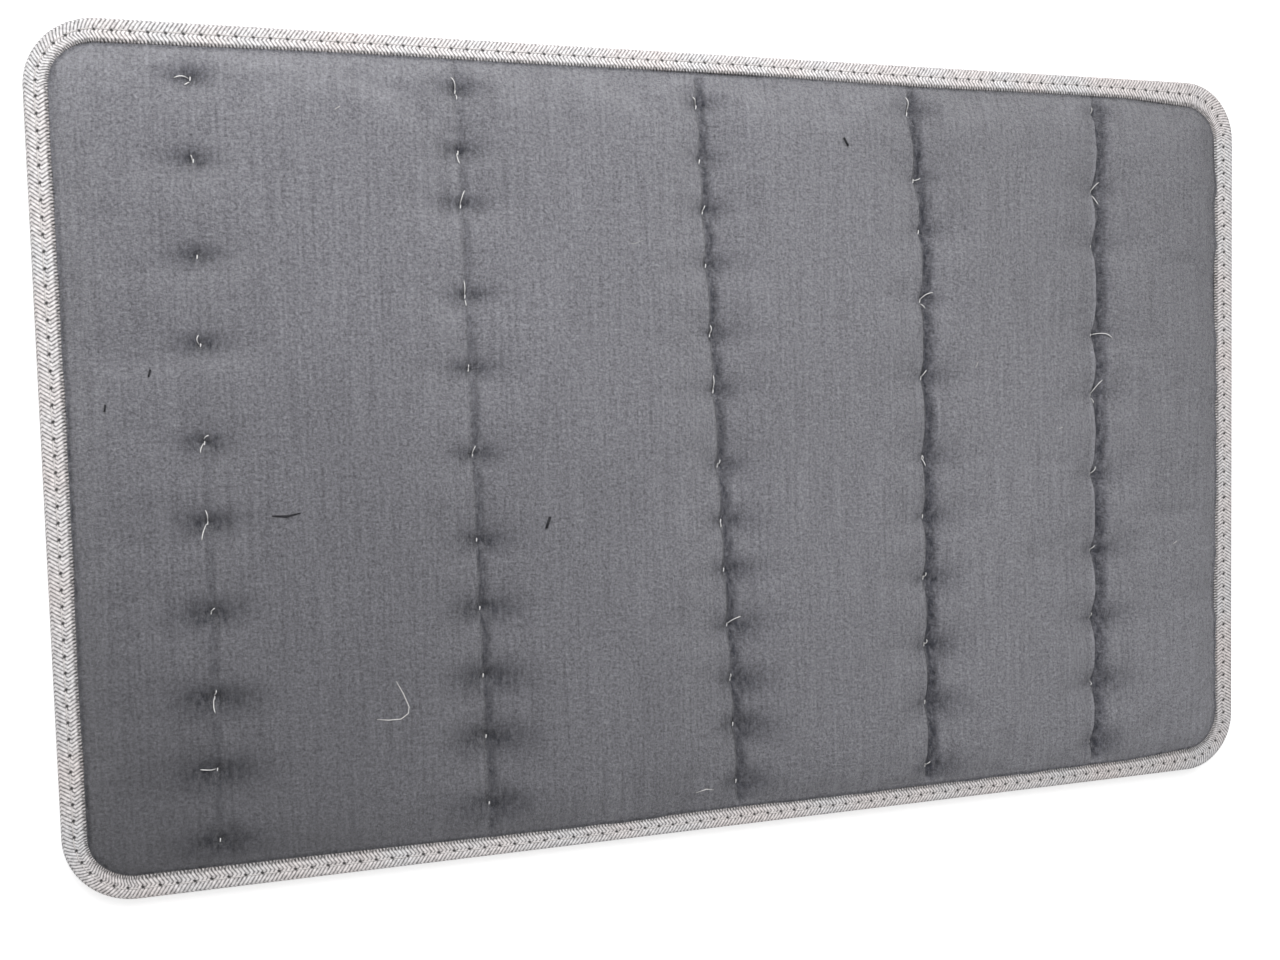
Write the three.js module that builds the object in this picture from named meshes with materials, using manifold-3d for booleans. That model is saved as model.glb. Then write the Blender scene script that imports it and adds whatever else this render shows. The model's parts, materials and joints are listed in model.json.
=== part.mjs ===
// A quilted kneeling pad: a foam slab between two grey velour covers, bound all round with woven tape and
// sewn through by five cross rows of long tack stitches, which leave six padded channels.
//
// Millimetres, +Z up, +X along the pad. The origin is the middle of the underside, where the pad meets the
// ground. The pad bends at its rows, so each channel is a body of its own, with room at each row to fold.
import * as THREE from "three";
import { mergeVertices } from "three/addons/utils/BufferGeometryUtils.js";
import Module from "manifold-3d";

// Overall sizes
const CHANNEL_WIDTHS = [43, 78, 79, 73, 70, 57]; // outer edge to first row, row to row, last row to outer edge
const PAD_WIDTH = 250;
const PAD_THICKNESS = 12; // over both covers, in the middle of a channel
const CORNER_RADIUS = 20; // outside the binding

// Layers
const COVER_THICKNESS = 1.2;
const SQUEEZED_THICKNESS = 4.6; // over both covers, where stitching pulls the layers together
const SHOULDER_WIDTH = 7; // how far a channel takes to rise from squeezed to full thickness
const SHOULDER_STEPS = 3;
const CORNER_STEPS = 6;

// Binding tape, folded over the edge, and its seam
const TAPE_THICKNESS = 0.8;
const TAPE_FACE = 6.4; // width that shows on each side of the pad
const SEAM_INSET = 3.1; // seam thread's centre line, in from the pad's outer edge
const SEAM_THREAD = 0.5;

// Quilting rows
const FOLD_LIMIT = 60; // degrees that the pad bends at a row, which rolls six channels into a hexagon
const ROW_THREAD = 0.8;
const ROW_RUN_SPACING = 2.2; // between the top and the bottom run of a row's thread, centre to centre
const ROW_END_MARGIN = 14; // least distance from a row's last tack to the edge of the pad
const TACK_PITCH = 24;
const THREAD_SIDES = 8;

const CLEARANCE = 0.3; // between pieces that touch on the real pad

// Derived sizes
const PAD_LENGTH = CHANNEL_WIDTHS.reduce((sum, width) => sum + width, 0);
const MIDDLE = PAD_THICKNESS / 2; // height of the plane halfway through the pad, which the folds turn about
const TAPE_SLOT = SQUEEZED_THICKNESS + 2 * CLEARANCE; // between the two faces of the folded tape
const TAPE_RISE = TAPE_SLOT / 2 + TAPE_THICKNESS; // from the middle plane to the tape's outside
const SEAM_RISE = TAPE_RISE + CLEARANCE + SEAM_THREAD; // and to the outside of its seam thread
const ROW_ROOM = foldRoom(TAPE_RISE); // from a row's line to the nearest edge of a channel
const SEAM_ROOM = foldRoom(SEAM_RISE);
const LAYER_INSET = TAPE_THICKNESS + CLEARANCE; // covers and foam, in from the outer edge
const PUFF_INSET = TAPE_FACE + CLEARANCE; // full padding starts inside the tape
const TACKS_PER_ROW = 1 + Math.floor((PAD_WIDTH - 2 * ROW_END_MARGIN) / TACK_PITCH);
const ROW_LINES = CHANNEL_WIDTHS.slice(0, -1).reduce(
  (lines, width) => [...lines, lines[lines.length - 1] + width],
  [-PAD_LENGTH / 2],
).slice(1);

const materials = {
  velour: new THREE.MeshStandardMaterial({ color: 0x6e6e73, roughness: 0.95, metalness: 0 }),
  foam: new THREE.MeshStandardMaterial({ color: 0xd9d6cf, roughness: 0.9, metalness: 0 }),
  tape: new THREE.MeshStandardMaterial({ color: 0xc9c4c1, roughness: 0.8, metalness: 0 }),
  thread: new THREE.MeshStandardMaterial({ color: 0xe4e1dc, roughness: 0.6, metalness: 0 }),
};

const wasm = await Module();
wasm.setup();

// How far from a row's line something that rises this much from the middle plane has to end, so that it
// clears its neighbour when the row is bent to its limit.
function foldRoom(rise) {
  return rise * Math.tan(THREE.MathUtils.degToRad(FOLD_LIMIT / 2)) + CLEARANCE;
}

// A closed geometry as a solid that can be joined and cut.
function solidOf(geometry) {
  const bare = new THREE.BufferGeometry();
  bare.setAttribute("position", geometry.getAttribute("position"));
  if (geometry.index) bare.setIndex(geometry.index);
  const merged = mergeVertices(bare, 1e-4);
  return new wasm.Manifold(new wasm.Mesh({
    numProp: 3,
    vertProperties: merged.attributes.position.array,
    triVerts: new Uint32Array(merged.index.array),
  }));
}

// A solid as a named mesh.
function meshOf(name, solid, material) {
  const { vertProperties, triVerts } = solid.getMesh();
  const geometry = new THREE.BufferGeometry();
  geometry.setAttribute("position", new THREE.BufferAttribute(vertProperties, 3));
  geometry.setIndex(new THREE.BufferAttribute(triVerts, 1));
  geometry.computeVertexNormals();
  const mesh = new THREE.Mesh(geometry, material);
  mesh.name = name;
  return mesh;
}

// A rectangle from x0 to x1 across a width, its left and right corners rounded by the radii given.
function outline(x0, x1, width, leftRadius, rightRadius) {
  const y = width / 2;
  const shape = new THREE.Shape();
  shape.moveTo(x0 + leftRadius, -y);
  shape.lineTo(x1 - rightRadius, -y);
  if (rightRadius) shape.absarc(x1 - rightRadius, rightRadius - y, rightRadius, -Math.PI / 2, 0);
  shape.lineTo(x1, y - rightRadius);
  if (rightRadius) shape.absarc(x1 - rightRadius, y - rightRadius, rightRadius, 0, Math.PI / 2);
  shape.lineTo(x0 + leftRadius, y);
  if (leftRadius) shape.absarc(x0 + leftRadius, y - leftRadius, leftRadius, Math.PI / 2, Math.PI);
  shape.lineTo(x0, leftRadius - y);
  if (leftRadius) shape.absarc(x0 + leftRadius, leftRadius - y, leftRadius, Math.PI, Math.PI * 1.5);
  shape.closePath();
  return shape;
}

// A flat slab of that outline, its thickness centred on the pad's middle plane.
function slab(shape, thickness) {
  const geometry = new THREE.ExtrudeGeometry(shape, {
    depth: thickness, bevelEnabled: false, curveSegments: CORNER_STEPS,
  });
  return solidOf(geometry.translate(0, 0, MIDDLE - thickness / 2));
}

// A slab whose rim rises over a rounded shoulder from the squeezed to the full thickness.
// The outline is the flat top's, and the shoulder lies outside it.
function puff(shape, rimThickness, fullThickness, shoulder) {
  const rise = (fullThickness - rimThickness) / 2;
  const geometry = new THREE.ExtrudeGeometry(shape, {
    depth: rimThickness,
    bevelThickness: rise,
    bevelSize: shoulder,
    bevelSegments: SHOULDER_STEPS,
    curveSegments: CORNER_STEPS,
  });
  return solidOf(geometry.translate(0, 0, MIDDLE - rimThickness / 2));
}

// The outline of a channel's layers, drawn in by inset at the pad's edges and by rowInset at its rows.
function channelOutline(channel, inset, rowInset) {
  const first = channel === 0;
  const last = channel === CHANNEL_WIDTHS.length - 1;
  const x0 = first ? inset - PAD_LENGTH / 2 : ROW_LINES[channel - 1] + rowInset;
  const x1 = last ? PAD_LENGTH / 2 - inset : ROW_LINES[channel] - rowInset;
  const radius = Math.max(CORNER_RADIUS - inset, 1);
  return outline(x0, x1, PAD_WIDTH - 2 * inset, first ? radius : 0, last ? radius : 0);
}

// Everything of a channel that lies within drop of its outside: a squeezed flange that runs out under the
// tape, and the padding that puffs up inside the tape and the rows. Spread widens it past its own sides.
function channelBody(channel, drop, spread) {
  const rim = SQUEEZED_THICKNESS - 2 * drop;
  const full = PAD_THICKNESS - 2 * drop;
  const flange = slab(channelOutline(channel, LAYER_INSET - spread, ROW_ROOM - spread), rim);
  const flatTop = channelOutline(channel, PUFF_INSET + SHOULDER_WIDTH, ROW_ROOM + SHOULDER_WIDTH);
  return flange.add(puff(flatTop, rim, full, SHOULDER_WIDTH));
}

// A block that takes in everything above or below the middle plane.
function halfSpace(side) {
  const reach = 2 * PAD_LENGTH;
  const block = new THREE.BoxGeometry(reach, reach, PAD_THICKNESS);
  return solidOf(block.translate(0, 0, MIDDLE + side * PAD_THICKNESS / 2));
}

function coverOf(channel, side) {
  const shell = channelBody(channel, 0, 0).subtract(channelBody(channel, COVER_THICKNESS, 1));
  return shell.intersect(halfSpace(side));
}

function foamOf(channel) {
  return channelBody(channel, COVER_THICKNESS + CLEARANCE, 0);
}

function padOutline(inset) {
  const radius = Math.max(CORNER_RADIUS - inset, 1);
  const end = PAD_LENGTH / 2 - inset;
  return outline(-end, end, PAD_WIDTH - 2 * inset, radius, radius);
}

// The stretch of a piece that belongs to one channel, ending short of the rows by room.
function stretchOf(solid, channel, room) {
  const x0 = channel === 0 ? -PAD_LENGTH : ROW_LINES[channel - 1] + room;
  const x1 = channel === CHANNEL_WIDTHS.length - 1 ? PAD_LENGTH : ROW_LINES[channel] - room;
  const block = new THREE.BoxGeometry(x1 - x0, 2 * PAD_WIDTH, 4 * PAD_THICKNESS);
  return solid.intersect(solidOf(block.translate((x0 + x1) / 2, 0, MIDDLE)));
}

// The whole binding: a tape folded over the edge of the pad, all the way round.
function bindingTape() {
  const folded = slab(padOutline(0), 2 * TAPE_RISE);
  const inside = slab(padOutline(TAPE_FACE), PAD_THICKNESS);
  return folded.subtract(inside).subtract(slab(padOutline(TAPE_THICKNESS), TAPE_SLOT));
}

// One run of seam thread, all the way round, on the top (side 1) or the underside (side -1) of the tape.
function seamThread(side) {
  const run = slab(padOutline(SEAM_INSET - SEAM_THREAD / 2), SEAM_THREAD)
    .subtract(slab(padOutline(SEAM_INSET + SEAM_THREAD / 2), 2 * SEAM_THREAD));
  return run.translate([0, 0, side * (SEAM_RISE - SEAM_THREAD / 2)]);
}

// A row's thread: a run above, a run below, and a tack through the pad at each stitch, which holds them together.
function rowThread(x) {
  const radius = ROW_THREAD / 2;
  const length = (TACKS_PER_ROW - 1) * TACK_PITCH + ROW_THREAD;
  const runs = [-1, 1].map((side) => {
    const run = new THREE.CylinderGeometry(radius, radius, length, THREAD_SIDES);
    return solidOf(run.translate(x, 0, MIDDLE + side * ROW_RUN_SPACING / 2));
  });
  let thread = runs[0].add(runs[1]);
  for (let tack = 0; tack < TACKS_PER_ROW; tack++) {
    const y = (tack - (TACKS_PER_ROW - 1) / 2) * TACK_PITCH;
    const through = new THREE.CylinderGeometry(radius, radius, ROW_RUN_SPACING, THREAD_SIDES);
    through.rotateX(Math.PI / 2).translate(x, y, MIDDLE);
    thread = thread.add(solidOf(through));
  }
  return thread;
}

const pad = new THREE.Group();
const tape = bindingTape();
const seams = { needle_thread: seamThread(1), bobbin_thread: seamThread(-1) };

// A stretch of something that goes round the pad: one piece round an end, or a front and a back length.
function addStretches(name, whole, channel, room, material) {
  const lengths = stretchOf(whole, channel, room).decompose();
  const places = lengths.length === 1 ? ["end"] : ["front", "back"];
  lengths.sort((a, b) => a.boundingBox().min[1] - b.boundingBox().min[1]);
  lengths.forEach((solid, i) => {
    pad.add(meshOf(`${name}_${places[i]}_${channel + 1}`, solid, material));
  });
}

for (let channel = 0; channel < CHANNEL_WIDTHS.length; channel++) {
  const number = channel + 1;
  pad.add(meshOf(`top_cover_${number}`, coverOf(channel, 1), materials.velour));
  pad.add(meshOf(`bottom_cover_${number}`, coverOf(channel, -1), materials.velour));
  pad.add(meshOf(`foam_core_${number}`, foamOf(channel), materials.foam));
  addStretches("binding_tape", tape, channel, ROW_ROOM, materials.tape);
  for (const [name, seam] of Object.entries(seams)) {
    addStretches(name, seam, channel, SEAM_ROOM, materials.thread);
  }
}
ROW_LINES.forEach((x, row) => {
  pad.add(meshOf(`quilting_thread_${row + 1}`, rowThread(x), materials.thread));
});

export default pad;
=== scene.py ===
"""A quilted kneeling pad: grey velour over foam, bound with woven tape and tacked through in five rows."""
import json
import math

import bmesh
import bpy
import numpy as np
from mathutils import Matrix, Vector, noise
from mathutils.bvhtree import BVHTree


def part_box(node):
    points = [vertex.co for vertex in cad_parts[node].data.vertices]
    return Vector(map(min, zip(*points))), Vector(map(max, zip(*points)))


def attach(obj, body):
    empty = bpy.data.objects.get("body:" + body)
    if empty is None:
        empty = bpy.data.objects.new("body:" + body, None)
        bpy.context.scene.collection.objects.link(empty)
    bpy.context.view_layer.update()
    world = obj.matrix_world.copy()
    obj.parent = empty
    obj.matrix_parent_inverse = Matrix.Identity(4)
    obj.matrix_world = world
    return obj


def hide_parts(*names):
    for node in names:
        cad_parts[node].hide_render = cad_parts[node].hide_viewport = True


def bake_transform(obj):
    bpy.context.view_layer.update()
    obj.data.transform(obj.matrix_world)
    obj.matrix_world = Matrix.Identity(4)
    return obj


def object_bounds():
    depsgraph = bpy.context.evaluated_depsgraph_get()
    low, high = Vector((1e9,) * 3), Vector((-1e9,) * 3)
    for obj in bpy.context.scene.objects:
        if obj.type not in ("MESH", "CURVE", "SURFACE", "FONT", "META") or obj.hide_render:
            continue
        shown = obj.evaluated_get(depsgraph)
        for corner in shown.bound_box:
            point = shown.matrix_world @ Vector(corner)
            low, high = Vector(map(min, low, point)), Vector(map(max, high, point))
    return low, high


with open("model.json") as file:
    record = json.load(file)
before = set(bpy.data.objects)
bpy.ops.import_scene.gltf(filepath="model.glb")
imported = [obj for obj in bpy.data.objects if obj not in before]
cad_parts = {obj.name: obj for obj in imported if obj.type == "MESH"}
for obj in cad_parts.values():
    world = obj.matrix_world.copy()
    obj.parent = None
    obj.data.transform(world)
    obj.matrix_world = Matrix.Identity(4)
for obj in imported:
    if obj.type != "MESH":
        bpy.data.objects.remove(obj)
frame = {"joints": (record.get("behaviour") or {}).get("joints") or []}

MM = 0.001

# The pad's own sizes, taken from the frame
CAD_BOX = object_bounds()
HALF_LENGTH = CAD_BOX[1].x
HALF_WIDTH = CAD_BOX[1].y
FULL_RISE = CAD_BOX[1].z / 2  # from the middle plane to the kneeling face
MIDDLE = CAD_BOX[1].z / 2
ROWS = sorted(joint["pos_m"][0] for joint in frame["joints"])
SIDES = [-HALF_LENGTH, *ROWS, HALF_LENGTH]
MID_CHANNELS = [(a + b) / 2 for a, b in zip(SIDES, SIDES[1:])]
TAPE_LOW, TAPE_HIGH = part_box("binding_tape_front_3")
TAPE_FACE = TAPE_HIGH.y - TAPE_LOW.y
TAPE_RISE = (TAPE_HIGH.z - TAPE_LOW.z) / 2

# The outer edge: straight sides joined by round corners
CORNER_RADIUS = 20 * MM
STRAIGHT_X = HALF_LENGTH - CORNER_RADIUS
STRAIGHT_Y = HALF_WIDTH - CORNER_RADIUS
ARC = CORNER_RADIUS * math.pi / 2
GIRTH = 4 * (STRAIGHT_X + STRAIGHT_Y + ARC)

# How the blank is cut into faces: beside each row, along a channel and across the pad
CUTS_BESIDE_ROW = [0, 1.2 * MM, 2.6 * MM, 4.4 * MM, 7 * MM, 11 * MM]
CUT_ALONG = 9 * MM
CUT_ACROSS = 3.2 * MM
CUTS_ROUND_CORNER = 7

# Sewing
RIM_RISE = 2.3 * MM  # half the thickness that the binding squeezes the layers to
ROW_RISE = 1.2 * MM  # half the thickness left where a tack pulls the layers together
LAYER_INSET = 1.2 * MM
SHOULDER = 9 * MM  # how far the padding takes to reach full thickness inside the binding
STITCHES = round(GIRTH / (4.7 * MM))
STITCH_PITCH = GIRTH / STITCHES
STITCH_INSET = 3.1 * MM
TOOTH_PITCH = STITCH_PITCH / 5
TWILL_PITCH = STITCH_PITCH / 4
TWILL_SLANT = 0.75
ZIGZAG = 3.2 * MM  # how far across the tape its herringbone runs before it turns
WEAVE_DEPTH = 0.2 * MM
PILE_DEPTH = 1.8 * MM
TWIST_DEPTH = 0.1 * MM
SEAM_THREAD_WIDTH = 0.36 * MM
TAPE_WALL = 0.55 * MM
TAPE_RISE_AT_SEAM = 3.21 * MM  # how high the tape's face stands where the seam presses it
UNDER_LIP = 0.5 * MM  # the padding starts to rise this far under the tape's inner lip

# Each row's tacks, by distance across the pad, and how firmly the crease between them is held
TACKS = [
    [109, 86, 59, 34, 6, -17, -43, -68, -89, -110],
    [109, 91, 75, 48, 26, 0, -26, -47, -68, -87, -108],
    [108, 91, 75, 58, 36, 18, -6, -24, -40, -58, -76, -91, -110],
    [109, 87, 70, 47, 21, -6, -26, -47, -70, -90, -112],
    [112, 85, 66, 35, 14, -14, -41, -65, -88, -110],
]
HELD_BETWEEN = [0.05, 0.30, 0.70, 0.90, 1.0]
CREASE_WIDTH = [2.6 * MM, 3.2 * MM, 3.2 * MM, 3.5 * MM, 3.8 * MM]
CREASE_DEPTH = 1.9 * MM
HOLLOW_DEPTH = 2.1 * MM
CREASE_SWAY_REACH = 14 * MM  # how far to each side the cloth moves over as a crease wanders
LIP_WIDTH = 1.3 * MM  # the left wall of a crease, which stands steep
TACK_PULL = [0.3, 0.4, 0.5, 0.6, 1.1]  # how far each tack drags the crease left, in millimetres

# How much shade is painted along each row, at the back of the pad and at the front, and how far painted shade
# reaches left and right round its tacks
SHADE_AT_BACK = [0.0, 0.35, 0.66, 0.78, 0.72]
SHADE_AT_FRONT = [0.35, 0.65, 0.75, 0.88, 0.74]
TACK_SHADE_LEFT = [6 * MM, 6 * MM, 3 * MM, 2.2 * MM, 2.2 * MM]
TACK_SHADE_RIGHT = [7.5 * MM, 7.5 * MM, 6.5 * MM, 6 * MM, 6 * MM]

# Loose ends of tacking thread: row, distance across the pad, length, heading and curl in degrees
LOOSE_ENDS = [
    (0, 109, 4, 170, 40), (0, 108, 2, 250, -60), (0, 86, 1.5, 90, 30), (0, 34, 3, 130, -90),
    (0, 6, 3, 240, 30), (0, 7, 2, 60, -50), (0, -17, 5, 245, 20), (0, -17, 4, 70, 50), (0, -43, 2, 60, -30),
    (0, -68, 4, 265, 25), (0, -67, 2, 40, 60), (0, -89, 4.5, 160, 15), (1, 109, 4, 80, 70),
    (1, 108, 2, 290, -40), (1, 91, 4, 250, 60), (1, 75, 4.5, 85, -25), (1, 48, 4.5, 88, 12),
    (1, 47, 2, 265, 20), (1, 0, 3, 85, -30), (1, 26, 1.5, 80, 10), (2, 108, 3, 120, 20),
    (2, 75, 2, 80, -20), (2, 36, 3, 75, 40), (2, 18, 5, 92, 10), (2, -6, 2, 60, 30), (2, -24, 2, 250, 10),
    (2, -58, 5, 60, -50), (2, -76, 2, 90, 0), (3, 109, 5, 105, 15), (3, 87, 2, 0, 40),
    (3, 47, 4.5, 70, -80), (3, 46, 2, 290, 30), (3, 21, 3, 75, -30), (3, -6, 3, 275, 20),
    (3, -7, 2, 80, 40), (3, -47, 2, 60, 30), (3, -70, 2, 50, 60), (3, -112, 2, 60, -30),
    (4, 112, 2, 85, 30), (4, 85, 4, 80, -60), (4, 84, 4, 275, 40), (4, 35, 7, 20, -75), (4, 14, 6, 75, -35),
    (4, 13, 2, 250, 10), (4, -14, 3, 50, 30), (4, -41, 2, 60, -20), (4, -65, 1.5, 80, 10),
    (4, -88, 2, 200, 30),
]
THREAD_WIDTH = 0.3 * MM

# How the covers are let settle over the foam
CLOTH_PRESSURE = 4
CLOTH_SLACK = 0.012
SETTLING_FRAMES = 20
CLOTH_LIMIT = 2 * MM


def smooth(t):
    t = np.clip(t, 0, 1)
    return t * t * (3 - 2 * t)


# ---------------------------------------------------------------- the quilted shape

def crease_line(row, y):
    """How far a row's crease lies to the right of its straight fold line, at each distance across the pad."""
    y = np.asarray(y, float)
    share = np.clip(y / HALF_WIDTH, -1, 1)
    drift = [
        0.5 * share,
        -1 - 2 * share,
        -1 - 5 * share,
        -4 * smooth((share - 0.5) / 0.4),
        -3.1 + share,
    ][row]
    pull = np.zeros_like(y)
    for tack in TACKS[row]:
        pull = np.maximum(pull, np.exp(-np.abs(y - tack * MM) / (4 * MM)))
    return MM * (drift + TACK_PULL[row] * (0.4 - pull))


def inset_from_edge(x, y):
    """How far inside the pad's outer edge a point is."""
    qx = np.abs(x) - (HALF_LENGTH - CORNER_RADIUS)
    qy = np.abs(y) - (HALF_WIDTH - CORNER_RADIUS)
    outside = np.hypot(np.maximum(qx, 0), np.maximum(qy, 0))
    return CORNER_RADIUS - outside - np.minimum(np.maximum(qx, qy), 0)


def near_tacks(row, y, reach):
    """1 at each tack of a row, falling away over reach."""
    near = np.zeros(np.shape(y))
    for tack in TACKS[row]:
        near = np.maximum(near, np.exp(-((y - tack * MM) / reach) ** 2))
    return near


def hollow(row, x, y):
    """The wide, soft part of what a row pulls down, from 0 to 1: a dimple round each tack."""
    across = x - ROWS[row] - crease_line(row, y)
    reach = np.where(across < 0, 5 * MM, 8 * MM)
    return np.exp(-(across / reach) ** 2) * (0.35 * HELD_BETWEEN[row] + near_tacks(row, y, 5 * MM)) / 1.35


def groove(row, x, y):
    """The narrow crease itself, from 0 to 1: a steep lip on the left and a slower rise on the right."""
    across = x - ROWS[row] - crease_line(row, y)
    left = 1 - smooth(-across / LIP_WIDTH)
    right = 1 - np.clip(across / CREASE_WIDTH[row], 0, 1) ** 1.6
    held = HELD_BETWEEN[row]
    held = held + 0.6 * (1 - held) * near_tacks(row, y, 1.8 * MM)
    return np.where(across < 0, left, right) * held


def painted_lip_highlight(row, x, y):
    """A painted highlight on a crease's left lip, from 0 to 1: a thin line of lighter colour that stands in
    for the sheen of the bent pile.
    """
    across = x - ROWS[row] - crease_line(row, y)
    return HELD_BETWEEN[row] * np.exp(-((across + 1.7 * MM) / (1.1 * MM)) ** 2)


def painted_tack_shade(row, x, y):
    """Painted shade round each tack, from 0 to 1, where its dimple falls in shade: it fans out to the right.
    """
    wider_in_front = 1 + 0.7 * smooth(0.2 - y / HALF_WIDTH)
    across = (x - ROWS[row] - crease_line(row, y)) / wider_in_front
    reach = np.where(across < 0, TACK_SHADE_LEFT[row], TACK_SHADE_RIGHT[row])
    core = near_tacks(row, y, 2 * MM) * np.exp(-(across / (3 * MM)) ** 2)
    halo = near_tacks(row, y, 3.2 * MM * wider_in_front) * np.exp(-(across / reach) ** 2)
    return np.maximum(core, 0.8 * halo)


def painted_crease_shade(row, x, y):
    """Painted shade along the whole of a crease, from 0 to 1."""
    across = x - ROWS[row] - crease_line(row, y)
    to_front = smooth(0.5 - y / HALF_WIDTH)
    shade = SHADE_AT_BACK[row] + (SHADE_AT_FRONT[row] - SHADE_AT_BACK[row]) * to_front
    left = 1 - smooth(-across / LIP_WIDTH)
    right = 1 - np.clip(across / CREASE_WIDTH[row], 0, 1) ** 2.5
    return shade * np.where(across < 0, left, right)


def pucker(row, x, y):
    """Short creases that run out sideways from each tack, longer to the right."""
    across = x - ROWS[row] - crease_line(row, y)
    reach = np.where(across < 0, 2.5 * MM, 5 * MM)
    return near_tacks(row, y, 1.5 * MM) * np.exp(-np.abs(across) / reach)


def nearest_edge(x, y):
    """The place on the pad's outer edge that is nearest to a point."""
    core = Vector((min(max(x, -STRAIGHT_X), STRAIGHT_X), min(max(y, -STRAIGHT_Y), STRAIGHT_Y)))
    way = Vector((x, y)) - core
    if way.length < 1e-9:
        to_side, to_end = STRAIGHT_Y - abs(y), STRAIGHT_X - abs(x)
        way = Vector((0, y)) if to_side < to_end else Vector((x, 0))
    edge = core + way.normalized() * CORNER_RADIUS
    return Vector((edge.x, edge.y, 0))


def tape_lip(x, y):
    """How far in from the outer edge the tape reaches, beside each point."""
    lip = np.full(len(x), TAPE_FACE)
    for i in np.flatnonzero(inset_from_edge(x, y) < 0.9 * CORNER_RADIUS):
        lip[i] = TAPE_FACE * (1 + tape_spread(nearest_edge(x[i], y[i])))
    return lip


def padding_rise(x, y):
    """How far the cover stands off the middle plane, before its creases are pressed in."""
    start = tape_lip(x, y) - UNDER_LIP
    share = 1 - (1 - np.clip((inset_from_edge(x, y) - start) / SHOULDER, 0, 1)) ** 2
    rise = RIM_RISE + (FULL_RISE - RIM_RISE) * share
    for row in range(len(ROWS)):
        rise = rise - HOLLOW_DEPTH * hollow(row, x, y) * share
    return rise


def lumps(x, y, seed, size):
    """Gentle unevenness from -1 to 1."""
    return np.array([noise.noise(Vector((a / size, b / size, seed))) for a, b in zip(x, y)])


def column_places():
    """Cuts along the pad: close together at each row, wider apart in a channel's middle."""
    near = CUTS_BESIDE_ROW
    places = []
    for i, (a, b) in enumerate(zip(SIDES, SIDES[1:])):
        left = [a + n for n in near] if i else [a + LAYER_INSET]
        right = [b - n for n in near[1:]] if i < len(ROWS) else [b - LAYER_INSET]
        start, end = left[-1], right[-1] if i < len(ROWS) else right[0]
        steps = 2 * round((end - start) / CUT_ALONG)
        middle = [start + (end - start) * n / steps for n in range(1, steps)]
        places += left + middle + right[::-1]
    return np.array(places)


def cut_blank():
    """The layers as they are cut: a flat closed slab with round corners, ready to be quilted."""
    columns = column_places()
    half = HALF_WIDTH - LAYER_INSET
    lines = np.linspace(-half, half, 2 * round(half / CUT_ACROSS) + 1)
    bm = bmesh.new()
    bmesh.ops.create_grid(bm, x_segments=len(columns) - 1, y_segments=len(lines) - 1, size=0.5)
    for v in bm.verts:
        column = round((v.co.x + 0.5) * (len(columns) - 1))
        line = round((v.co.y + 0.5) * (len(lines) - 1))
        v.co = Vector((columns[column], lines[line], 0))
    round_corners(bm)
    top = bmesh.ops.extrude_face_region(bm, geom=list(bm.faces))
    for v in (g for g in top["geom"] if isinstance(g, bmesh.types.BMVert)):
        v.co.z = RIM_RISE
    for v in bm.verts:
        v.co.z = MIDDLE + (RIM_RISE if v.co.z > 0 else -RIM_RISE)
    bmesh.ops.recalc_face_normals(bm, faces=list(bm.faces))
    stretch = bm.faces.layers.int.new("stretch")
    for face in bm.faces:
        x = face.calc_center_median().x
        face[stretch] = sum(x > middle for middle in MID_CHANNELS[1:-1])
    return bm


def round_corners(bm):
    """Cuts the corners of the flat blank round."""
    radius = CORNER_RADIUS - LAYER_INSET
    for sx in (-1, 1):
        for sy in (-1, 1):
            centre = Vector((sx * (HALF_LENGTH - CORNER_RADIUS), sy * (HALF_WIDTH - CORNER_RADIUS), 0))
            for n in range(CUTS_ROUND_CORNER):
                angle = math.radians(90 * (n + 0.5) / CUTS_ROUND_CORNER)
                out = Vector((sx * math.cos(angle), sy * math.sin(angle), 0))
                bmesh.ops.bisect_plane(
                    bm,
                    geom=list(bm.verts) + list(bm.edges) + list(bm.faces),
                    plane_co=centre + out * radius,
                    plane_no=out,
                    clear_outer=True,
                )


def places_of(mesh):
    """All the mesh's points, one to a row."""
    co = np.zeros(len(mesh.vertices) * 3)
    mesh.vertices.foreach_get("co", co)
    return co.reshape(-1, 3)


def put_places(mesh, co):
    mesh.vertices.foreach_set("co", np.ascontiguousarray(co).ravel())
    mesh.update()


def new_object(name, bm, material):
    mesh = bpy.data.meshes.new(name)
    bm.to_mesh(mesh)
    bm.free()
    piece = bpy.data.objects.new(name, mesh)
    bpy.context.scene.collection.objects.link(piece)
    mesh.materials.append(material)
    mesh.polygons.foreach_set("use_smooth", [True] * len(mesh.polygons))
    return piece


def with_modifiers_applied(piece):
    bpy.context.view_layer.update()
    evaluated = piece.evaluated_get(bpy.context.evaluated_depsgraph_get())
    mesh = bpy.data.meshes.new_from_object(evaluated)
    piece.modifiers.clear()
    piece.data = mesh
    return piece


def quilt(material):
    """The whole pad body, quilted, before it is parted for the folds."""
    pad = new_object("pad", cut_blank(), material)
    co = places_of(pad.data)
    follow_creases(co)
    side = np.sign(co[:, 2] - MIDDLE)
    co[:, 2] = MIDDLE + side * padding_rise(co[:, 0], co[:, 1])
    put_places(pad.data, co)
    let_cloth_settle(pad)
    fine = pad.modifiers.new("fine", "SUBSURF")
    fine.levels = fine.render_levels = 2
    with_modifiers_applied(pad)
    sculpt_quilting(pad.data)
    return pad


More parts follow.
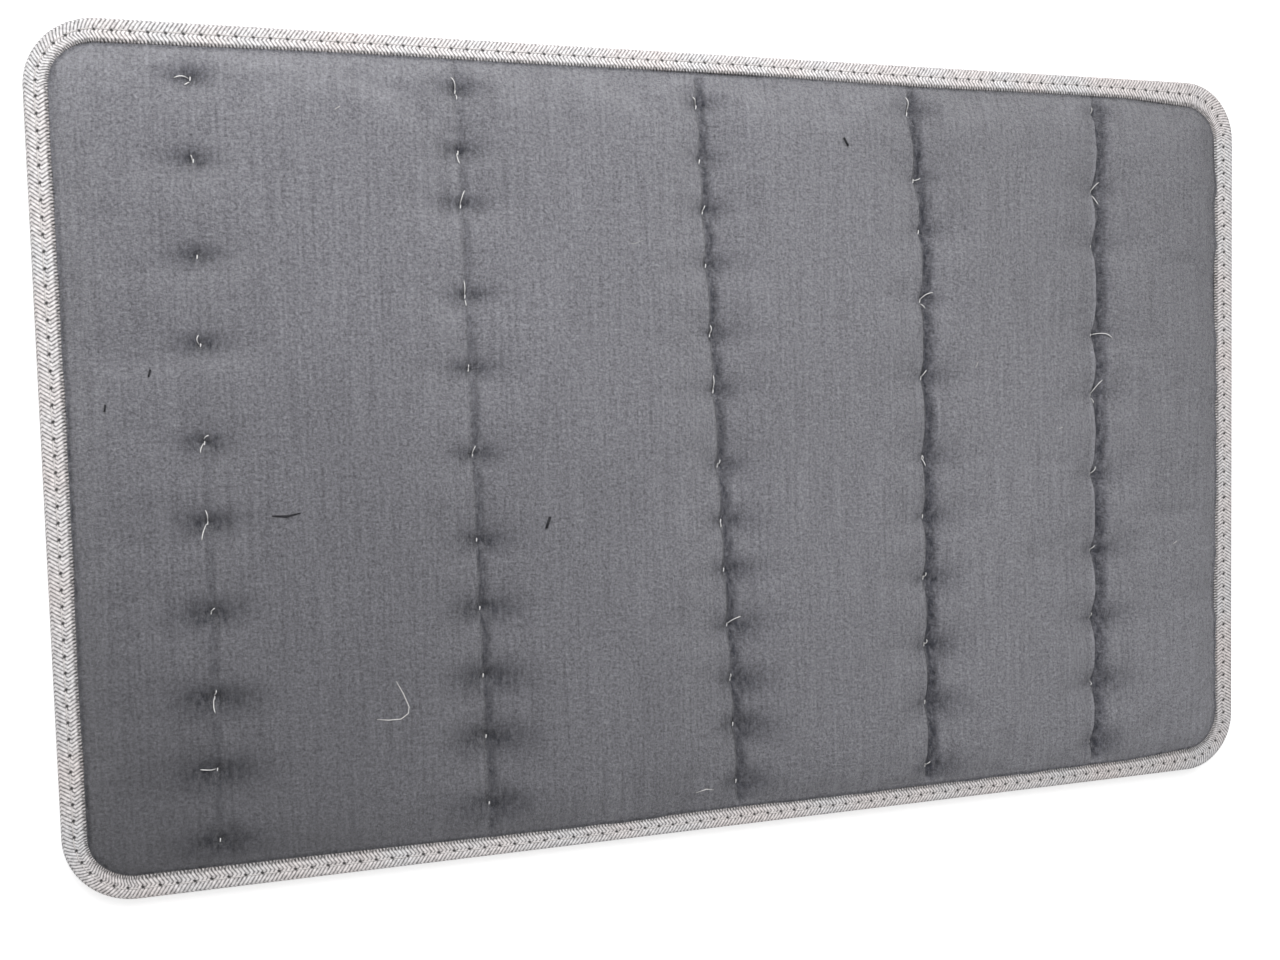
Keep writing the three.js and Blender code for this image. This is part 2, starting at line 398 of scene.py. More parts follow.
def let_cloth_settle(pad):
    """The foam pushes the covers out between the stitches, and the slack gathers into soft wrinkles."""
    start = places_of(pad.data)
    x, y = start[:, 0], start[:, 1]
    sewn = inset_from_edge(x, y) < tape_lip(x, y) + 1 * MM
    for row in range(len(ROWS)):
        across = np.abs(x - ROWS[row] - crease_line(row, y))
        held = near_tacks(row, y, 3 * MM) if row < 2 else 1
        sewn |= (across < 1 * MM) & (held > 0.3)
    group = pad.vertex_groups.new(name="sewn")
    group.add([int(i) for i in np.flatnonzero(sewn)], 1.0, "REPLACE")
    cloth = pad.modifiers.new("cloth", "CLOTH")
    settings = cloth.settings
    settings.vertex_group_mass = "sewn"
    settings.quality = 6
    settings.mass = 0.3
    settings.tension_stiffness = settings.compression_stiffness = 15
    settings.shear_stiffness = 8
    settings.bending_stiffness = 0.2
    settings.use_pressure = True
    settings.uniform_pressure_force = CLOTH_PRESSURE
    settings.shrink_min = -CLOTH_SLACK
    settings.effector_weights.gravity = 0
    cloth.point_cache.frame_start = 1
    cloth.point_cache.frame_end = SETTLING_FRAMES
    scene = bpy.context.scene
    for frame_number in range(1, SETTLING_FRAMES + 1):
        scene.frame_set(frame_number)
    settled = places_of(pad.evaluated_get(bpy.context.evaluated_depsgraph_get()).data)
    moved = settled - start
    length = np.linalg.norm(moved, axis=1, keepdims=True)
    moved *= np.minimum(1, CLOTH_LIMIT / np.maximum(length, 1e-9))
    pad.modifiers.remove(cloth)
    scene.frame_set(1)
    put_places(pad.data, start + moved)


def follow_creases(co):
    """Slides the cuts sideways so that they follow the creases."""
    for row, line in enumerate(ROWS):
        near = np.exp(-((co[:, 0] - line) / CREASE_SWAY_REACH) ** 2)
        co[:, 0] += near * crease_line(row, co[:, 1])


def sculpt_quilting(mesh):
    """Presses the creases, puckers and a little unevenness into the settled covers."""
    co = places_of(mesh)
    x, y = co[:, 0], co[:, 1]
    upper = co[:, 2] > MIDDLE
    beyond_lip = inset_from_edge(x, y) - tape_lip(x, y)
    inside = smooth(beyond_lip / (4 * MM))
    rise = np.abs(co[:, 2] - MIDDLE)
    # Painted shade: the crease attribute darkens the velour's colour beside the tape's lip, along the
    # creases, round the tacks and at the puckers; negative values paint a highlight on each crease's lip.
    crease = 0.8 * np.exp(-(beyond_lip / (0.7 * MM)) ** 2)
    for row in range(len(ROWS)):
        crack, fold, tack_shade = groove(row, x, y), pucker(row, x, y), painted_tack_shade(row, x, y)
        rise -= inside * (CREASE_DEPTH * crack + 0.7 * MM * fold) * np.where(upper, 1, 0.6)
        painted_darkening = np.maximum(np.maximum(painted_crease_shade(row, x, y), 0.6 * fold), tack_shade)
        crease = np.maximum(crease, inside * painted_darkening)
        crease -= 0.42 * inside * painted_lip_highlight(row, x, y)
    soft = 0.18 * MM * lumps(x, y, 3.1, 32 * MM) + 0.08 * MM * lumps(x, y, 9.7, 11 * MM)
    rise += np.where(upper, soft, -np.abs(soft)) * inside
    rise = np.maximum(rise, np.minimum(ROW_RISE, np.abs(co[:, 2] - MIDDLE)))
    co[:, 2] = MIDDLE + np.where(upper, rise, -np.minimum(rise, FULL_RISE))
    put_places(mesh, co)
    shade = mesh.attributes.new("crease", "FLOAT", "POINT")
    shade.data.foreach_set("value", crease.astype(np.float32))


def lay_out_cloth(mesh, name="cloth"):
    """A flat map of the cloth in metres, as it lies before any fold."""
    uv = mesh.uv_layers.new(name=name)
    corner = np.zeros(len(mesh.loops), np.int32)
    mesh.loops.foreach_get("vertex_index", corner)
    uv.data.foreach_set("uv", places_of(mesh)[corner][:, :2].astype(np.float32).ravel())


def part_at_channels(pad, material):
    """Parts the pad in the middle of the channels, into one piece for each row."""
    keep_normals(pad.data)
    pieces = []
    for row in range(len(ROWS)):
        bm = bmesh.new()
        bm.from_mesh(pad.data)
        stretch = bm.faces.layers.int["stretch"]
        others = [face for face in bm.faces if face[stretch] != row]
        bmesh.ops.delete(bm, geom=others, context="FACES")
        open_edges = [edge for edge in bm.edges if edge.is_boundary]
        caps = bmesh.ops.holes_fill(bm, edges=open_edges)["faces"]
        for cap in caps:
            cap[stretch] = -1
        piece = new_object(f"padded_cover_{row + 1}", bm, material)
        use_kept_normals(piece.data)
        pieces.append(piece)
    bpy.data.objects.remove(pad)
    return pieces


def keep_normals(mesh):
    """Notes the whole cover's normals on its points, so that the parted pieces shade as one."""
    whole = mesh.attributes.new("whole_normal", "FLOAT_VECTOR", "POINT")
    normals = np.zeros(len(mesh.vertices) * 3, np.float32)
    mesh.vertex_normals.foreach_get("vector", normals)
    whole.data.foreach_set("vector", normals)


def use_kept_normals(mesh):
    normals = np.zeros(len(mesh.vertices) * 3, np.float32)
    mesh.attributes["whole_normal"].data.foreach_get("vector", normals)
    corner = np.zeros(len(mesh.loops), np.int32)
    mesh.loops.foreach_get("vertex_index", corner)
    normals = normals.reshape(-1, 3)[corner]
    stretch = mesh.attributes["stretch"].data
    for face in mesh.polygons:
        if stretch[face.index].value < 0:
            normals[list(face.loop_indices)] = face.normal
            face.use_smooth = False
    mesh.normals_split_custom_set(normals)
    mesh.attributes.remove(mesh.attributes["whole_normal"])
    mesh.attributes.remove(mesh.attributes["stretch"])


# ---------------------------------------------------------------- the binding

def edge_at(s):
    """The point on the pad's outer edge after walking s from the middle of the front, and the way out."""
    s = s % GIRTH
    legs = [STRAIGHT_X, 2 * STRAIGHT_Y, 2 * STRAIGHT_X, 2 * STRAIGHT_Y, STRAIGHT_X]
    for i, leg in enumerate(legs):
        turn = math.pi / 2 * i
        ahead = Vector((math.cos(turn), math.sin(turn), 0))
        out = Vector((math.sin(turn), -math.cos(turn), 0))
        half = (STRAIGHT_X, STRAIGHT_Y)[i % 2]
        depth = (HALF_WIDTH, HALF_LENGTH)[i % 2]
        begin = 0 if i == 0 else -half
        if s <= leg:
            return out * depth + ahead * (begin + s), out
        s -= leg
        if s <= ARC:
            angle = s / CORNER_RADIUS
            centre = out * (depth - CORNER_RADIUS) + ahead * half
            way = out * math.cos(angle) + ahead * math.sin(angle)
            return centre + way * CORNER_RADIUS, way
        s -= ARC
    return Vector((0, -HALF_WIDTH, 0)), Vector((0, -1, 0))


def front_at(x):
    """The distance along the edge at which the front side passes x."""
    return x


def back_at(x):
    """The distance along the edge at which the back side passes x."""
    return STRAIGHT_X + ARC + 2 * STRAIGHT_Y + ARC + STRAIGHT_X - x


def tape_profile():
    """The folded tape's outer face, from its top lip round to its bottom one, as pairs of inset and rise."""
    top = [(TAPE_FACE, 2.95), (TAPE_FACE - 0.35 * MM, 3.25), (5.0 * MM, 3.42), (4.2 * MM, 3.38),
           (3.6 * MM, 3.30), (STITCH_INSET, 3.26), (2.6 * MM, 3.30), (1.5 * MM, 3.30), (0.75 * MM, 3.10),
           (0.30 * MM, 2.5), (0.06 * MM, 1.6), (0.0, 0.55)]
    top = [(inset, rise * MM) for inset, rise in top]
    return top + [(inset, -rise) for inset, rise in reversed(top)]


def tape_width_places(profile):
    places = [0.0]
    for (a, b), (c, d) in zip(profile, profile[1:]):
        places.append(places[-1] + math.hypot(c - a, d - b))
    return places


def tape_dimple(s, inset):
    """How far a stitch pulls the tape in, deepest at its needle holes."""
    along = (s / STITCH_PITCH + 0.5) % 1 - 0.5
    hole = math.exp(-((along * STITCH_PITCH) / (0.8 * MM)) ** 2)
    across = math.exp(-((inset - STITCH_INSET) / (0.7 * MM)) ** 2)
    return MM * (0.05 + 0.32 * hole) * across


def tape_spread(edge):
    """How much wider or narrower the tape lies than its usual face, as a share: it was sewn on by hand."""
    left_end = 0.09 * float(smooth((-edge.x - 120 * MM) / (60 * MM)))
    right_end = 0.32 * float(smooth((edge.x - 150 * MM) / (45 * MM)))
    back_right = 0.15 * float(smooth((edge.x - 10 * MM) / (70 * MM)) * smooth((edge.y - 60 * MM) / (60 * MM)))
    return left_end + right_end + back_right + 0.12 * noise.noise(edge * 13 + Vector((0, 0, 5)))


def tape_point(s, inset, rise, waver=0.0):
    edge, out = edge_at(s)
    place = edge - out * (inset * (1 + tape_spread(edge)) + waver)
    return Vector((place.x, place.y, MIDDLE + rise))


def bind(name, start, end, material):
    """One stretch of the tape, from start to end along the edge."""
    step = TOOTH_PITCH / 2
    first, last = math.ceil(start / step + 0.1), math.floor(end / step - 0.1)
    sections = [start, *(n * step for n in range(first, last + 1)), end]
    profile = tape_profile()
    widths = tape_width_places(profile)
    bm = bmesh.new()
    bmesh.ops.create_grid(bm, x_segments=len(sections) - 1, y_segments=len(profile) - 1, size=0.5)
    uv = bm.loops.layers.uv.new("tape")
    place = {}
    for v in bm.verts:
        i = round((v.co.x + 0.5) * (len(sections) - 1))
        j = round((v.co.y + 0.5) * (len(profile) - 1))
        place[v] = (sections[i], widths[j])
        s, (inset, rise) = sections[i], profile[j]
        at_lip = j in (0, len(profile) - 1)
        waver = 0.3 * MM * math.cos(2 * math.pi * s / TOOTH_PITCH) if at_lip else 0.0
        rise -= math.copysign(tape_dimple(s, inset), rise)
        v.co = tape_point(s, inset, rise, waver)
    for face in bm.faces:
        for loop in face.loops:
            loop[uv].uv = place[loop.vert]
    bmesh.ops.recalc_face_normals(bm, faces=list(bm.faces))
    face_out(bm, start)
    piece = new_object(name, bm, material)
    wall = piece.modifiers.new("wall", "SOLIDIFY")
    wall.thickness = TAPE_WALL
    wall.offset = -1
    with_modifiers_applied(piece)
    ends = [edge_at(start)[0].x, edge_at(end)[0].x]
    for face in piece.data.polygons:
        at_end = min(abs(face.center.x - x) for x in ends) < 0.01 * MM
        face.use_smooth = not (at_end and abs(face.normal.x) > 0.9)
    return piece


def face_out(bm, s):
    """Turns the tape's faces outwards, away from the middle of the pad's edge."""
    edge, out = edge_at(s)
    inner = edge - out * TAPE_FACE / 2 + Vector((0, 0, MIDDLE))
    face = min(bm.faces, key=lambda f: (f.calc_center_median() - (edge + Vector((0, 0, MIDDLE)))).length)
    if face.normal.dot(face.calc_center_median() - inner) < 0:
        bmesh.ops.reverse_faces(bm, faces=list(bm.faces))


# ---------------------------------------------------------------- threads

def lay_thread(bm, points, width, sides=6):
    """Runs a round thread through the points, with its ends drawn in."""
    points = [Vector(p) for p in points]
    rings = []
    for i, point in enumerate(points):
        ahead = (points[min(i + 1, len(points) - 1)] - points[max(i - 1, 0)]).normalized()
        turn = ahead.to_track_quat("Z", "Y").to_matrix().to_4x4()
        thin = 0.45 if i in (0, len(points) - 1) else 1.0
        ring = bmesh.ops.create_circle(
            bm, segments=sides, radius=width / 2 * thin, cap_ends=i in (0, len(points) - 1),
            matrix=Matrix.Translation(point) @ turn,
        )["verts"]
        rings.append(ring)
    for a, b in zip(rings, rings[1:]):
        near, far = ring_edges(a), ring_edges(b)
        bmesh.ops.bridge_loops(bm, edges=near + far)


def ring_edges(ring):
    held = set(ring)
    return list({edge for v in ring for edge in v.link_edges if edge.other_vert(v) in held})


def finish_threads(name, bm, material):
    bmesh.ops.recalc_face_normals(bm, faces=list(bm.faces))
    return new_object(name, bm, material)


def stitch_points(s, side):
    """One machine stitch on the tape: out of one needle hole, along, and into the next."""
    bow = [(0.06, -0.35), (0.20, 0.05), (0.5, 0.14), (0.80, 0.05), (0.94, -0.35)]
    points = []
    for share, lift in bow:
        rise = TAPE_RISE_AT_SEAM + lift * MM
        points.append(tape_point(s + share * STITCH_PITCH, STITCH_INSET, side * rise))
    return points


def sew_stretch(name, start, end, side, material):
    bm = bmesh.new()
    first, last = math.ceil(start / STITCH_PITCH), math.floor(end / STITCH_PITCH)
    for n in range(first, last + 1):
        if start <= (n + 0.5) * STITCH_PITCH < end:
            lay_thread(bm, stitch_points(n * STITCH_PITCH, side), SEAM_THREAD_WIDTH, sides=5)
    return finish_threads(name, bm, material)


def loose_end(row, y, length, heading, curl, surface):
    """A cut end of thread that stands out of its crease and lies down on the velour."""
    x = ROWS[row] + float(crease_line(row, y)) + 0.2 * MM
    turn = math.radians(heading)
    steps = 7
    points = [Vector((x, y, surface(x, y) - 0.6 * MM))]
    for n in range(steps):
        x += length / steps * math.cos(turn)
        y += length / steps * math.sin(turn)
        turn += math.radians(curl) / steps
        lift = 0.25 + 0.9 * math.sin(math.pi * (n + 1) / (steps + 1))
        points.append(Vector((x, y, surface(x, y) + lift * MM)))
    return points


def tack_points(row, y, side, surface):
    """The tack itself: a short stitch down in the crease, over the layers that it holds."""
    x = ROWS[row] + float(crease_line(row, y)) + 0.4 * MM
    reach = [(-1.3, -0.6), (-0.8, -0.05), (0.0, 0.1), (0.8, -0.05), (1.3, -0.6)]
    points = []
    for along, lift in reach:
        place = y + along * MM
        level = surface(x, y) if side > 0 else 2 * MIDDLE - surface(x, y)
        points.append(Vector((x + 0.12 * along * MM, place, level + side * lift * MM)))
    return points


# ---------------------------------------------------------------- materials

def node_maker(material):
    """Short ways to add and connect nodes in a material, and its shader."""
    tree = material.node_tree
    shader = tree.nodes["Principled BSDF"]

    def add(kind, inputs=None, **settings):
        node = tree.nodes.new(kind)
        for key, value in settings.items():
            setattr(node, key, value)
        for key, value in (inputs or {}).items():
            if isinstance(value, bpy.types.NodeSocket):
                tree.links.new(value, node.inputs[key])
            else:
                node.inputs[key].default_value = value
        return node

    def connect(socket, target):
        tree.links.new(socket, target)

    return add, connect, shader


def new_material(name):
    material = bpy.data.materials.new(name)
    material.use_nodes = True
    return material


def speckle(add, vector, scale, stretch=(1, 1, 1), detail=2.0, roughness=0.5):
    """Noise with features about 1 / scale metres across, drawn out where stretch is small."""
    mapped = add("ShaderNodeMapping", {"Vector": vector, "Scale": stretch})
    made = add("ShaderNodeTexNoise", {
        "Vector": mapped.outputs["Vector"], "Scale": scale, "Detail": detail, "Roughness": roughness,
    })
    return made.outputs["Fac"]


def maths(add, operation, a, b=0.0, c=0.0):
    """One arithmetic step on shader values."""
    return add("ShaderNodeMath", {0: a, 1: b, 2: c}, operation=operation).outputs[0]


def velour():
    """Brushed grey velour, flecked and ribbed, with painted shade darkening its colour along the creases,
    round the tacks and beside the tape, a painted highlight on the creases' lips, and a painted light falloff
    over the pad.
    """
    material = new_material("velour")
    add, connect, shader = node_maker(material)
    cloth = add("ShaderNodeUVMap", uv_map="cloth").outputs["UV"]
    fleck = speckle(add, cloth, 1300, detail=4, roughness=0.9)
    worms = speckle(add, cloth, 800, detail=3, roughness=0.6)
    nap = speckle(add, cloth, 1000, stretch=(1, 0.5, 1), detail=2)
    ribs = speckle(add, cloth, 800, stretch=(1, 0.04, 1), detail=1)
    clump = speckle(add, cloth, 300, detail=2)
    tone = maths(add, "MULTIPLY_ADD", fleck, 0.66, 0.0)
    tone = maths(add, "MULTIPLY_ADD", nap, 0.18, tone)
    tone = maths(add, "MULTIPLY_ADD", ribs, 0.11, tone)
    tone = maths(add, "MULTIPLY_ADD", clump, 0.05, tone)
    ramp = add("ShaderNodeValToRGB", {"Fac": tone})
    ramp.color_ramp.elements[0].position = 0.38
    ramp.color_ramp.elements[0].color = (0.11, 0.108, 0.125, 1)
    ramp.color_ramp.elements[1].position = 0.63
    ramp.color_ramp.elements[1].color = (0.447, 0.446, 0.49, 1)
    # Painted shade: the crease attribute, mottled, darkens the colour along the creases, round the tacks and
    # beside the tape.
    crease = add("ShaderNodeAttribute", attribute_name="crease").outputs["Fac"]
    mottle = speckle(add, cloth, 700, stretch=(1, 0.4, 1), detail=3, roughness=0.75)
    shade_mottle = maths(add, "MULTIPLY_ADD", mottle, 3.4, -0.7)
    painted_darkening = add("ShaderNodeValToRGB", {"Fac": maths(add, "MULTIPLY", crease, shade_mottle)})
    painted_darkening.color_ramp.elements[0].color = (1, 1, 1, 1)
    painted_darkening.color_ramp.elements[1].color = (0.17, 0.178, 0.215, 1)
    darkened = add("ShaderNodeVectorMath", {0: ramp.outputs["Color"], 1: painted_darkening.outputs["Color"]},
                   operation="MULTIPLY")
    colour = add("ShaderNodeVectorMath", {0: darkened.outputs["Vector"]}, operation="SCALE")
    # Painted highlight where the crease attribute is negative, on the creases' lips, times the painted light
    # falloff over the pad.
    painted_highlight_lift = maths(add, "MAXIMUM", maths(add, "MULTIPLY_ADD", crease, -0.9, 1.0), 1.0)
    connect(maths(add, "MULTIPLY", painted_light_falloff(add, cloth), painted_highlight_lift), colour.inputs["Scale"])
    connect(colour.outputs["Vector"], shader.inputs["Base Color"])
    shader.inputs["Roughness"].default_value = 0.95
    shader.inputs["Specular IOR Level"].default_value = 0.15
    shader.inputs["Sheen Weight"].default_value = 0.3
    shader.inputs["Sheen Roughness"].default_value = 0.45
    height = maths(add, "MULTIPLY_ADD", worms, 0.8, tone)
    pile = add("ShaderNodeBump", {"Height": height, "Strength": 1.0, "Distance": PILE_DEPTH})
    connect(pile.outputs["Normal"], shader.inputs["Normal"])
    return material


def painted_light_falloff(add, cloth):
    """Painted light falloff: the colour is scaled smoothly over the pad, darkest at the front left, to stand
    in for how the light falls, with soft blotches of random tone on top.
    """
    axes = add("ShaderNodeSeparateXYZ", {0: cloth})
    blotch = speckle(add, cloth, 14, detail=3)
    painted_falloff = maths(add, "MULTIPLY_ADD", axes.outputs[0], 0.52, 1.03)
    painted_falloff = maths(add, "MULTIPLY_ADD", axes.outputs[1], 0.75, painted_falloff)
    painted_falloff = maths(add, "MULTIPLY_ADD", maths(add, "MULTIPLY", axes.outputs[0], axes.outputs[1]), -12.5, painted_falloff)
    return maths(add, "MULTIPLY_ADD", maths(add, "SUBTRACT", blotch, 0.5), 0.34, painted_falloff)


def woven_tape():
    """Herringbone tape, with shade painted into the needle holes along its seam and into the gaps of a fine
    comb of threads at its lip.
    """
    material = new_material("woven_tape")
    add, connect, shader = node_maker(material)
    tape = add("ShaderNodeUVMap", uv_map="tape").outputs["UV"]
    axes = add("ShaderNodeSeparateXYZ", {0: tape})
    along, across = axes.outputs[0], axes.outputs[1]
    chevron = maths(add, "PINGPONG", maths(add, "ADD", across, 0.6 * MM), ZIGZAG)
    slant = maths(add, "MULTIPLY_ADD", chevron, -TWILL_SLANT, along)
    strand = maths(add, "DIVIDE", slant, TWILL_PITCH)
    beside_strand = maths(add, "PINGPONG", strand, 0.5)
    twill = add("ShaderNodeMapRange", {"Value": beside_strand, "From Min": 0.08, "From Max": 0.30},
                interpolation_type="SMOOTHSTEP").outputs[0]
    grain = speckle(add, tape, 900, detail=4, roughness=0.8)
    worn = speckle(add, tape, 650, detail=2)
    tone = maths(add, "MULTIPLY_ADD", grain, 1.0, maths(add, "MULTIPLY", twill, 0.33))
    tone = maths(add, "MULTIPLY_ADD", maths(add, "SUBTRACT", worn, 0.5), 0.25, tone)
    ramp = add("ShaderNodeValToRGB", {"Fac": tone})
    ramp.color_ramp.elements[0].position = 0.40
    ramp.color_ramp.elements[0].color = (0.13, 0.125, 0.125, 1)
    ramp.color_ramp.elements[1].position = 0.92
    ramp.color_ramp.elements[1].color = (0.93, 0.90, 0.895, 1)
    patch = speckle(add, tape, 45, detail=1)
    tint = add("ShaderNodeValToRGB", {"Fac": patch})
    tint.color_ramp.elements[0].position = 0.35
    tint.color_ramp.elements[0].color = (1.0, 0.96, 0.955, 1)
    tint.color_ramp.elements[1].position = 0.65
    tint.color_ramp.elements[1].color = (0.965, 0.98, 1.0, 1)
    yarn = add("ShaderNodeVectorMath", {0: ramp.outputs["Color"], 1: tint.outputs["Color"]},
               operation="MULTIPLY")
    # Painted shade: the colour darkens to almost black in each needle hole on the seam line.
    half = STITCH_PITCH / 2
    beside = maths(add, "PINGPONG", along, half)
    beside = maths(add, "DIVIDE", beside, 0.58 * MM)
    width = tape_width_places(tape_profile())[-1]
    inner = maths(add, "PINGPONG", across, width / 2)
    off_line = maths(add, "SUBTRACT", inner, TAPE_FACE - STITCH_INSET)
    off_line = maths(add, "DIVIDE", off_line, 0.42 * MM)
    spread = maths(add, "ADD", maths(add, "POWER", maths(add, "ABSOLUTE", beside), 2.0),
                   maths(add, "POWER", maths(add, "ABSOLUTE", off_line), 2.0))
    hole = add("ShaderNodeMapRange", {"Value": spread, "From Min": 0.3, "From Max": 1.6,
                                      "To Min": 0.08, "To Max": 1.0})
    # Painted shade: the gaps between the comb's teeth at the lip are darkened.
    teeth = maths(add, "PINGPONG", along, TOOTH_PITCH / 2)
    gap = add("ShaderNodeMapRange", {"Value": teeth, "From Min": 0.12 * MM, "From Max": 0.34 * MM,
                                     "To Min": 0.8, "To Max": 0.2})
    at_lip = add("ShaderNodeMapRange", {"Value": inner, "From Min": 0.9 * MM, "From Max": 1.4 * MM,
                                        "To Min": 1.0, "To Max": 0.0})
    comb = maths(add, "SUBTRACT", 1.0, maths(add, "MULTIPLY", gap.outputs[0], at_lip.outputs[0]))
    colour = add("ShaderNodeVectorMath", {0: yarn.outputs["Vector"]}, operation="SCALE")
    connect(maths(add, "MULTIPLY", hole.outputs[0], comb), colour.inputs["Scale"])
    connect(colour.outputs["Vector"], shader.inputs["Base Color"])
    shader.inputs["Roughness"].default_value = 0.7
    shader.inputs["Specular IOR Level"].default_value = 0.3
    weave = add("ShaderNodeBump", {"Height": tone, "Strength": 0.5, "Distance": WEAVE_DEPTH})
    connect(weave.outputs["Normal"], shader.inputs["Normal"])
    return material


def thread(name, colour):
    """Twisted yarn of one colour, a little uneven along its strands."""
    material = new_material(name)
    add, connect, shader = node_maker(material)
    place = add("ShaderNodeTexCoord").outputs["Object"]
    strand = speckle(add, place, 3500, detail=2)
    lightness = maths(add, "MULTIPLY_ADD", strand, 0.7, 0.65)
    shade = add("ShaderNodeVectorMath", {0: colour}, operation="SCALE")
    connect(lightness, shade.inputs["Scale"])
    connect(shade.outputs["Vector"], shader.inputs["Base Color"])
    shader.inputs["Roughness"].default_value = 0.6
    twist = add("ShaderNodeBump", {"Height": strand, "Strength": 0.6, "Distance": TWIST_DEPTH})
    connect(twist.outputs["Normal"], shader.inputs["Normal"])
    return material


# ---------------------------------------------------------------- putting it together

def bend_at(piece):
    """Bakes the piece's placing into its mesh."""
    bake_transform(piece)


def make_padding(material):
    pad = quilt(material)
    lay_out_cloth(pad.data)
    surface = surface_of(pad.data)
    for row, piece in enumerate(part_at_channels(pad, material)):
        bend_at(piece)
        channels = [row + 1, row + 2] if row == len(ROWS) - 1 else [row + 1]
        for channel in channels:
            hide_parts(f"top_cover_{channel}", f"bottom_cover_{channel}", f"foam_core_{channel}")
    return surface


def surface_of(mesh):
    """A function that gives the height of the kneeling face at any place on it."""
    tree = BVHTree.FromPolygons([v.co for v in mesh.vertices], [f.vertices for f in mesh.polygons])

    def surface(x, y):
        return tree.ray_cast(Vector((x, y, 3 * MIDDLE)), Vector((0, 0, -1)))[0].z

    return surface


def make_tacks(surface, material):
    for row in range(len(ROWS)):
        bm = bmesh.new()
        for tack in TACKS[row]:
            for side in (1, -1):
                lay_thread(bm, tack_points(row, tack * MM, side, surface), THREAD_WIDTH * 1.3)
        for at, y, length, heading, curl in LOOSE_ENDS:
            if at == row:
                lay_thread(bm, loose_end(row, y * MM, length * MM, heading, curl, surface), THREAD_WIDTH)
        piece = finish_threads(f"tacking_thread_{row + 1}", bm, material)
        bend_at(piece)
        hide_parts(f"quilting_thread_{row + 1}")


# Lint that clings to the pile: channel, whether it is pale, width, and the places it runs through, all in
# millimetres
LINT = [
    (1, False, 1.3, [(-170, 27), (-170.5, 25)]),
    (1, False, 1.2, [(-182, 17.5), (-182.3, 15.5)]),
    (2, False, 0.7, [(-139, -15.5), (-135, -15.8), (-131, -15)]),
    (3, False, 1.8, [(-57.5, -19.5), (-58.8, -23)]),
    (4, False, 1.4, [(42.8, 98.8), (44.3, 96.2)]),
    (2, True, 0.5, [(-117, 101), (-115.5, 102)]),
    (5, True, 0.5, [(122.5, 2.5), (124, 3)]),
    (5, True, 0.35, [(90.5, 24), (91.5, 26)]),
    (6, True, 0.5, [(169.5, -40), (171, -39)]),
    (2, True, 0.3, [(-105.5, -66.5), (-103.5, -70.5), (-102, -74.5), (-102.3, -76.5), (-104.5, -78),
                    (-108, -78), (-111.5, -77.5)]),
    (3, True, 0.3, [(-11.5, -111.5), (-8, -110.5), (-5.5, -111)]),
    (3, True, 0.15, [(-30, 64), (-28, 64), (-25.5, 65)]),
]


def make_lint(surface, name, pale, colour):
    """The dark or the pale bits of lint, as one piece for each channel that has some."""
    material = thread(name, colour)
    chosen = [bit for bit in LINT if bit[1] == pale]
    for channel in sorted({bit[0] for bit in chosen}):
        bm = bmesh.new()
        for at, _, width, places in chosen:
            if at == channel:
                lay_thread(bm, [lint_point(surface, width, *place) for place in places], width * MM)
        piece = finish_threads(f"{name}_{channel}", bm, material)
        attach(piece, f"channel_{channel}")


def lint_point(surface, width, x, y):
    """A place that lint runs through, sunk a little into the pile."""
    return x * MM, y * MM, surface(x * MM, y * MM) + 0.4 * width * MM


def make_seams(material):
    for name, start, end, row, nodes in edge_stretches():
        for seam, side in (("needle_thread", 1), ("bobbin_thread", -1)):
            piece = sew_stretch(f"{seam}_row_{name}", start, end, side, material)
            bend_at(piece)
            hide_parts(*(f"{seam}_{node}" for node in nodes))


def edge_stretches():
    """Every stretch of edge that crosses one row: its name, start, end, row and the nodes it stands for."""
    last = len(ROWS) - 1
    stretches = [
        ("end_1", back_at(MID_CHANNELS[1]), GIRTH + front_at(MID_CHANNELS[1]), 0, ["end_1"]),
        ("end_6", front_at(MID_CHANNELS[-2]), back_at(MID_CHANNELS[-2]), last, ["end_6"]),
    ]
    for row in range(1, last):
        left, right = MID_CHANNELS[row], MID_CHANNELS[row + 1]
        channels = [row + 1, row + 2] if row == last - 1 else [row + 1]
        for place, start, end in (("front", front_at(left), front_at(right)),
                                  ("back", back_at(right), back_at(left))):
            nodes = [f"{place}_{channel}" for channel in channels]
            stretches.append((f"{place}_{row + 1}", start, end, row, nodes))
    return stretches


def make_binding(material):
    for name, start, end, row, nodes in edge_stretches():
        piece = bind(f"bound_tape_{name}", start, end, material)
        bend_at(piece)
        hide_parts(*(f"binding_tape_{node}" for node in nodes))


# ---------------------------------------------------------------- studio

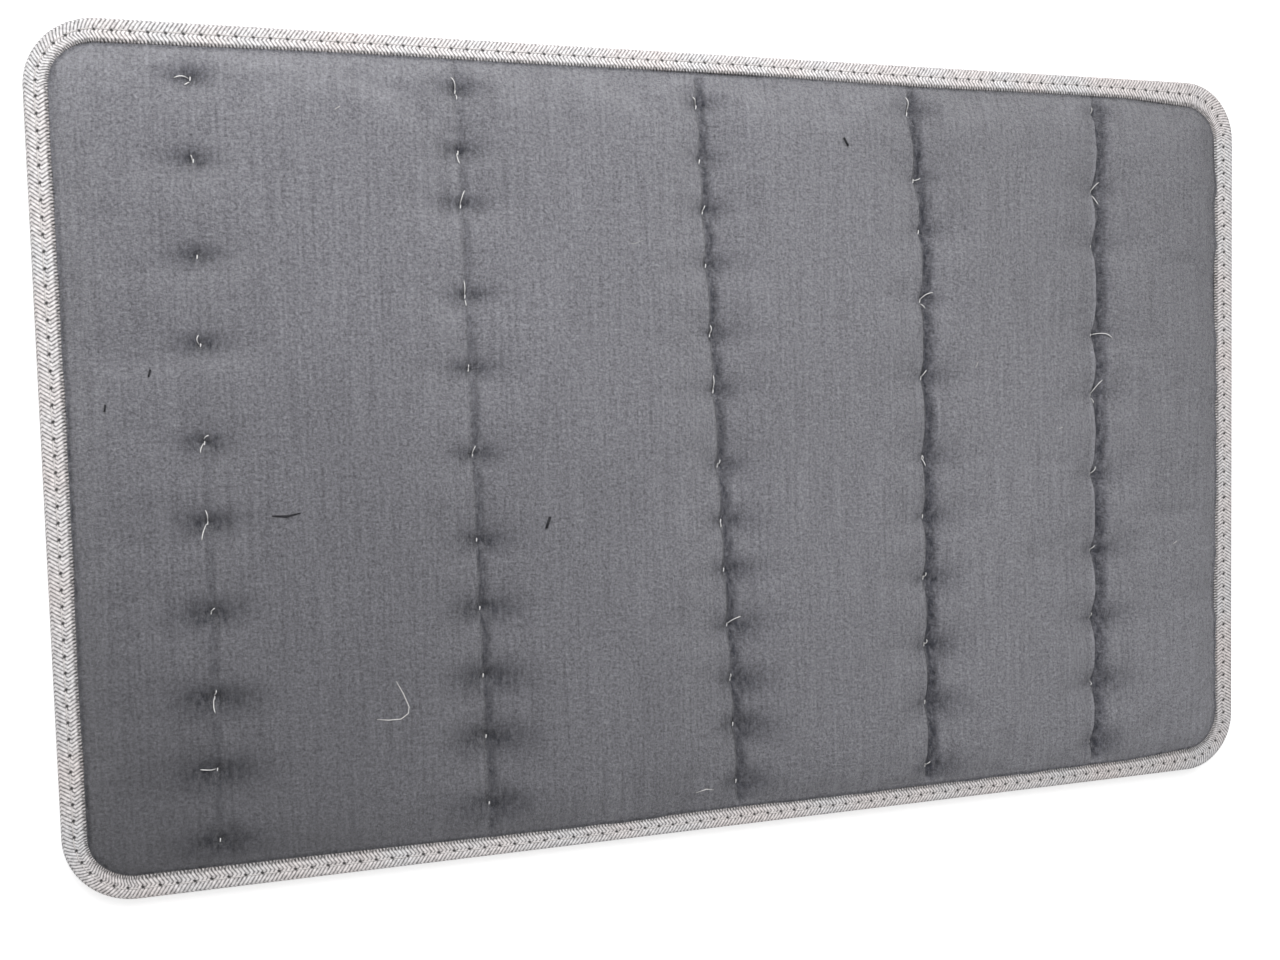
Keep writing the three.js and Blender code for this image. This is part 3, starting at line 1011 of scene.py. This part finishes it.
def make_floor():
    """A sheet of white paper that glows a little, so that the pad's shadow on it stays faint."""
    bm = bmesh.new()
    bmesh.ops.create_grid(bm, x_segments=1, y_segments=1, size=3)
    paper = new_material("paper")
    shader = paper.node_tree.nodes["Principled BSDF"]
    shader.inputs["Base Color"].default_value = (0.9, 0.9, 0.9, 1)
    shader.inputs["Roughness"].default_value = 0.9
    shader.inputs["Emission Color"].default_value = (1, 1, 1, 1)
    shader.inputs["Emission Strength"].default_value = 0.5
    floor = new_object("floor", bm, paper)


def make_light(name, place, size, power):
    light = bpy.data.lights.new(name, "AREA")
    light.size = size
    light.energy = power
    lamp = bpy.data.objects.new(name, light)
    lamp.location = place
    lamp.rotation_euler = (-Vector(place)).to_track_quat("-Z", "Y").to_euler()
    lamp.visible_camera = False
    bpy.context.scene.collection.objects.link(lamp)


def make_studio():
    make_floor()
    make_light("key", (-0.08, 0.24, 0.47), 0.3, 2.6)
    world = bpy.data.worlds.new("studio")
    world.use_nodes = True
    world.node_tree.nodes["Background"].inputs["Color"].default_value = (1, 1, 1, 1)
    world.node_tree.nodes["Background"].inputs["Strength"].default_value = 0.37
    bpy.context.scene.world = world
    bpy.context.scene.view_settings.view_transform = "Standard"


def make_camera():
    camera = bpy.data.cameras.new("camera")
    camera.lens = 34.26
    camera.sensor_width = 36
    camera.clip_start = 0.01
    seen = bpy.data.objects.new("camera", camera)
    seen.location = (-0.1322, 0.0113, 0.3800)
    seen.rotation_euler = (math.radians(-2.71), math.radians(-15.90), math.radians(-1.48))
    bpy.context.scene.collection.objects.link(seen)
    bpy.context.scene.camera = seen


make_camera()
make_studio()
grey_velour = velour()
silver_tape = woven_tape()
kneeling_face = make_padding(grey_velour)
make_binding(silver_tape)
make_seams(thread("seam_thread", (0.68, 0.65, 0.64)))
make_tacks(kneeling_face, thread("tacking_thread", (0.86, 0.85, 0.84)))
make_lint(kneeling_face, "dark_lint", False, (0.012, 0.012, 0.016))
make_lint(kneeling_face, "pale_lint", True, (0.75, 0.73, 0.72))
